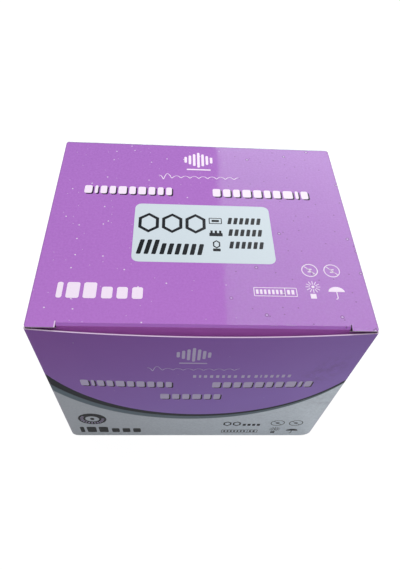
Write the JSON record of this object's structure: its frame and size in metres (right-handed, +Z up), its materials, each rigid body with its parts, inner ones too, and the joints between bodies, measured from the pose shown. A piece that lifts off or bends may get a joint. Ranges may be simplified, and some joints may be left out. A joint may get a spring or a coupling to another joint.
{
  "type": "needle carton",
  "caption": "Tuck-lid folding carton, closed, filled with flat layers of individually sealed hypodermic needle packs.",
  "frame": {"origin": "middle of the base, on the surface that the carton stands on", "axes": "+X along the width of the front, the front faces -Y, +Z up through the lid"},
  "size_m": [0.12, 0.1024, 0.1],
  "materials": {
    "carton_board": "printed folding board with a semi-gloss film on the outside",
    "pack_paper": "matt, white",
    "pack_film": "clear, glossy",
    "hub_plastic": "deep green, slightly translucent",
    "sheath_plastic": "clear, glossy",
    "needle_steel": "bright drawn"
  },
  "bodies": {
    "carton": {"carton_body": "carton_board", "backing_paper_layer_01": "pack_paper", "film_pocket_layer_01": "pack_film", "needle_hub_layer_01": "hub_plastic", "needle_sheath_layer_01": "sheath_plastic", "cannula_layer_01": "needle_steel", "backing_paper_layer_02": "pack_paper", "film_pocket_layer_02": "pack_film", "needle_hub_layer_02": "hub_plastic", "needle_sheath_layer_02": "sheath_plastic", "cannula_layer_02": "needle_steel", "backing_paper_layer_03": "pack_paper", "film_pocket_layer_03": "pack_film", "needle_hub_layer_03": "hub_plastic", "needle_sheath_layer_03": "sheath_plastic", "cannula_layer_03": "needle_steel", "backing_paper_layer_04": "pack_paper", "film_pocket_layer_04": "pack_film", "needle_hub_layer_04": "hub_plastic", "needle_sheath_layer_04": "sheath_plastic", "cannula_layer_04": "needle_steel", "backing_paper_layer_05": "pack_paper", "film_pocket_layer_05": "pack_film", "needle_hub_layer_05": "hub_plastic", "needle_sheath_layer_05": "sheath_plastic", "cannula_layer_05": "needle_steel", "backing_paper_layer_06": "pack_paper", "film_pocket_layer_06": "pack_film", "needle_hub_layer_06": "hub_plastic", "needle_sheath_layer_06": "sheath_plastic", "cannula_layer_06": "needle_steel", "backing_paper_layer_07": "pack_paper", "film_pocket_layer_07": "pack_film", "needle_hub_layer_07": "hub_plastic", "needle_sheath_layer_07": "sheath_plastic", "cannula_layer_07": "needle_steel", "backing_paper_layer_08": "pack_paper", "film_pocket_layer_08": "pack_film", "needle_hub_layer_08": "hub_plastic", "needle_sheath_layer_08": "sheath_plastic", "cannula_layer_08": "needle_steel", "backing_paper_layer_09": "pack_paper", "film_pocket_layer_09": "pack_film", "needle_hub_layer_09": "hub_plastic", "needle_sheath_layer_09": "sheath_plastic", "cannula_layer_09": "needle_steel", "backing_paper_layer_10": "pack_paper", "film_pocket_layer_10": "pack_film", "needle_hub_layer_10": "hub_plastic", "needle_sheath_layer_10": "sheath_plastic", "cannula_layer_10": "needle_steel"},
    "lid": {"carton_lid": "carton_board"}
  },
  "joints": [
    {"name": "lid_hinge", "type": "hinge", "parent": "carton", "child": "lid", "pos_m": [0, 0.04977, 0.09978], "axis": [-1, 0, 0], "range_deg": [0, 180]}
  ]
}
